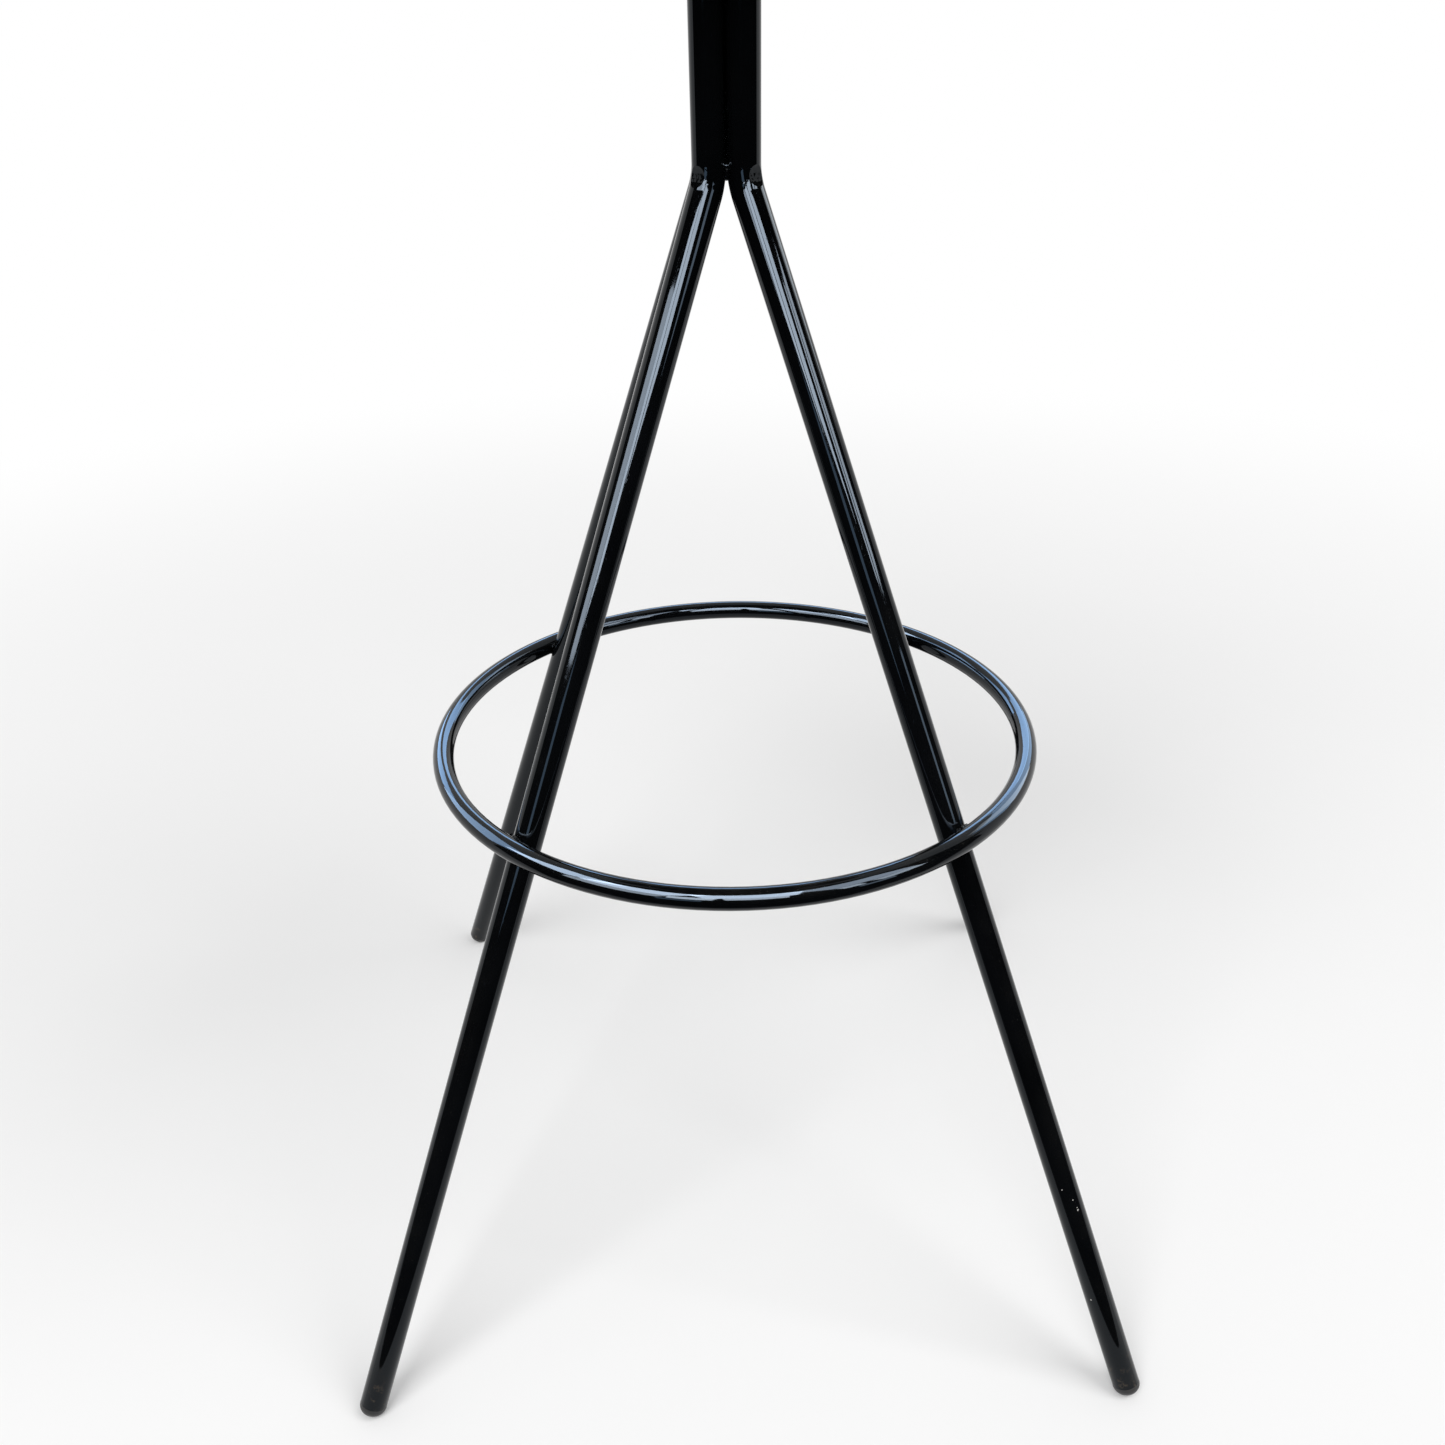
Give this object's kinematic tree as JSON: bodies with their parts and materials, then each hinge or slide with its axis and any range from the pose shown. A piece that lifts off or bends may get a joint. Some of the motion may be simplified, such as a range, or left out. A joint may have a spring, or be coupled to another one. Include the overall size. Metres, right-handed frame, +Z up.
{
  "type": "bar stool",
  "caption": "Bar-height stool: splayed steel tube legs gathered into a short column under a round padded seat, with a welded foot ring and domed plugs.",
  "frame": {"origin": "on the floor, on the column's axis, midway between the four feet", "axes": "+Z up along the column, -Y to the front, legs at 45 degrees between X and Y"},
  "size_m": [0.4694, 0.4694, 0.7803],
  "materials": {
    "enamel": "deep gloss black enamel",
    "plug": "satin black plastic",
    "zinc": "zinc plated, satin",
    "plywood": "raw plywood",
    "foam": "open-cell foam",
    "vinyl": "satin black vinyl with a fine grain",
    "dust_cloth": "matte black non-woven cloth"
  },
  "bodies": {
    "root": {"leg_front_left": "enamel", "ring_weld_front_left": "enamel", "plug_front_left": "plug", "leg_front_right": "enamel", "ring_weld_front_right": "enamel", "plug_front_right": "plug", "leg_rear_left": "enamel", "ring_weld_rear_left": "enamel", "plug_rear_left": "plug", "leg_rear_right": "enamel", "ring_weld_rear_right": "enamel", "plug_rear_right": "plug", "crotch_weld_front": "enamel", "crotch_weld_right": "enamel", "crotch_weld_rear": "enamel", "crotch_weld_left": "enamel", "foot_ring": "enamel", "plate_weld": "enamel", "seat_plate": "enamel", "seat_board": "plywood", "seat_screws": "zinc", "seat_washers": "zinc", "seat_foam": "foam", "seat_cover": "vinyl", "dust_cover": "dust_cloth"}
  },
  "joints": []
}
